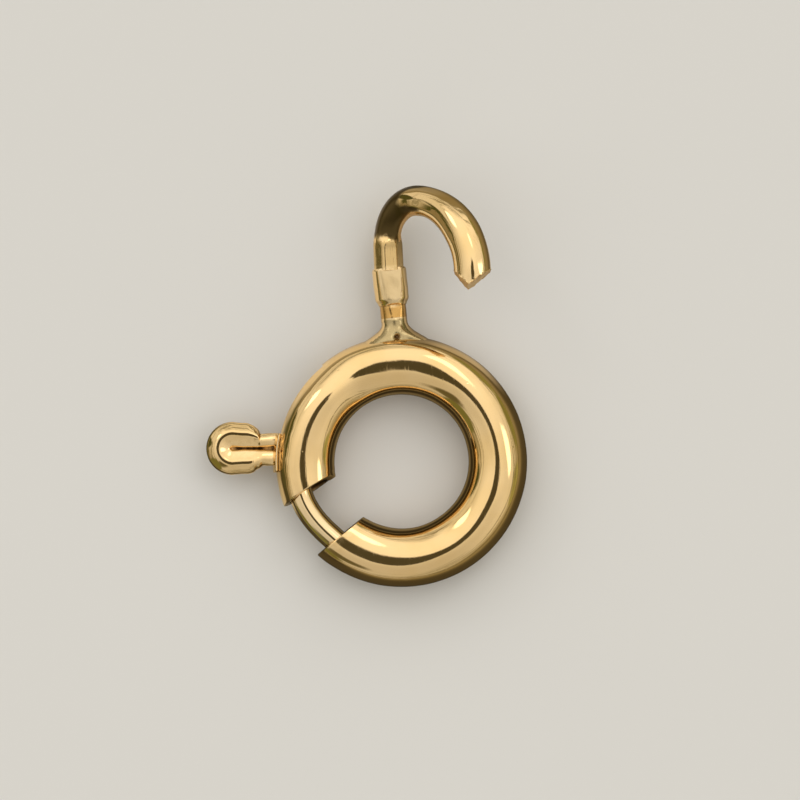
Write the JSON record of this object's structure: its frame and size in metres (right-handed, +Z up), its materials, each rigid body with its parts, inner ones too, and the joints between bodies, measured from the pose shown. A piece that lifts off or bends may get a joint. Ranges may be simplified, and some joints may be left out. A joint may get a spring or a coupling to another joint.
{
  "type": "spring ring clasp",
  "caption": "Gold spring ring clasp for a fine chain, closed, with its end hook still open.",
  "frame": {"origin": "centre of the ring, halfway up its tube", "axes": "+Z up through the ring's hole, +Y from the ring's centre towards the hook, -X towards the lever"},
  "size_m": [0.0076, 0.0096, 0.0028],
  "materials": {
    "gold": "polished",
    "bolt_gold": "polished",
    "spring_steel": "satin"
  },
  "bodies": {
    "ring": {"clasp_body": "gold", "spring": "spring_steel"},
    "slider": {"bolt": "bolt_gold", "lever": "gold"}
  },
  "joints": [
    {"name": "bolt_slide", "type": "hinge", "parent": "ring", "child": "slider", "pos_m": [0, 0, 0], "axis": [0, 0, -1], "range_deg": [0, 40.4], "stiffness_Nm_per_rad": 0.0027, "springref_deg": -28.65, "deforming": ["spring"]}
  ]
}
